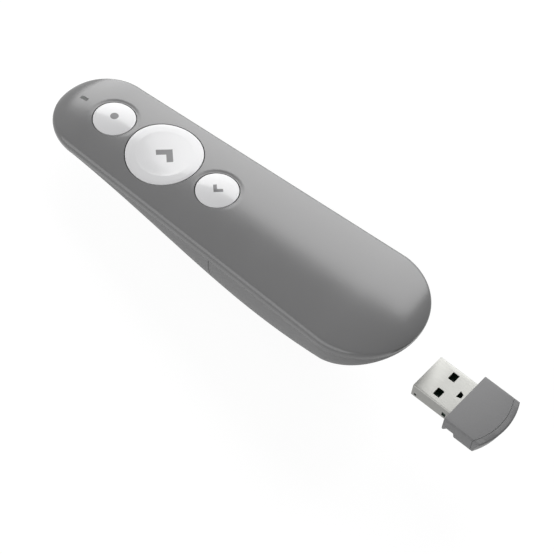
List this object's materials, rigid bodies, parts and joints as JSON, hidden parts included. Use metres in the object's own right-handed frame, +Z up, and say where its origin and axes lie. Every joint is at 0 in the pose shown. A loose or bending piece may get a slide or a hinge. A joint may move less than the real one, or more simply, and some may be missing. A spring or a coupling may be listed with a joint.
{
  "type": "wireless presentation clicker",
  "caption": "Hand-held presentation clicker with round keys, a laser pointer, a sliding battery cover and a plug-in receiver that docks in its tail.",
  "frame": {"origin": "middle of the flat patch under the belly, where the handset rests on a table", "axes": "+Z up from the table, +Y towards the laser end of the handset, +X to the right of a person who points it that way"},
  "size_m": [0.0368, 0.1545, 0.0311],
  "materials": {
    "soft_grey": "fine soft-touch grey",
    "key_white": "polished white",
    "switch_black": "moulded black",
    "board_green": "solder mask",
    "chip_black": "moulded epoxy",
    "can_steel": "plain can",
    "led_lens": "frosted resin",
    "light_pipe": "clear moulding",
    "barrel_brass": "turned",
    "clear_lens": "clear",
    "dark_window": "tinted",
    "cell_can": "printed film over a can",
    "contact_nickel": "nickel plated",
    "spring_steel": "nickel plated wire",
    "cradle_black": "moulded black",
    "screw_steel": "blackened",
    "plug_steel": "satin nickel",
    "tongue_black": "moulded black",
    "contact_gold": "gold flash",
    "receiver_grey": "fine grey"
  },
  "bodies": {
    "handset": {"top_shell": "soft_grey", "bottom_shell": "soft_grey", "battery_cradle": "cradle_black", "case_screws": "screw_steel", "main_board": "board_green", "laser_switch": "switch_black", "next_switch": "switch_black", "back_switch": "switch_black", "controller_chip": "chip_black", "crystal_can": "can_steel", "status_led": "led_lens", "light_pipe": "light_pipe", "laser_barrel": "barrel_brass", "laser_lens": "clear_lens", "laser_window": "dark_window", "battery_left": "cell_can", "battery_right": "cell_can", "bridge_contact": "contact_nickel", "positive_contact": "contact_nickel", "negative_contact": "contact_nickel", "rear_spring": "spring_steel", "front_spring": "spring_steel"},
    "laser_key": {"laser_button": "key_white"},
    "next_key": {"next_button": "key_white"},
    "back_key": {"back_button": "key_white"},
    "cover": {"battery_cover": "soft_grey"},
    "receiver": {"usb_shell": "plug_steel", "usb_tongue": "tongue_black", "usb_contacts": "contact_gold", "receiver_housing": "receiver_grey", "receiver_end_cap": "receiver_grey", "receiver_board": "board_green"}
  },
  "joints": [
    {"name": "laser_press", "type": "slide", "parent": "handset", "child": "laser_key", "axis": [0, -0.1476, -0.989], "range_m": [0, 0.00035], "stiffness_N_per_m": 600, "springref_m": -0.0002},
    {"name": "next_press", "type": "slide", "parent": "handset", "child": "next_key", "axis": [0, -0.1476, -0.989], "range_m": [0, 0.00035], "stiffness_N_per_m": 600, "springref_m": -0.0002},
    {"name": "back_press", "type": "slide", "parent": "handset", "child": "back_key", "axis": [0, -0.1476, -0.989], "range_m": [0, 0.00035], "stiffness_N_per_m": 600, "springref_m": -0.0002},
    {"name": "cover_slide", "type": "slide", "parent": "handset", "child": "cover", "axis": [0, -0.9962, 0.0872], "range_m": [0, 0.03]},
    {"name": "receiver_dock", "type": "slide", "parent": "handset", "child": "receiver", "axis": [0, 0.9962, -0.0872], "range_m": [0, 0.0374]}
  ]
}
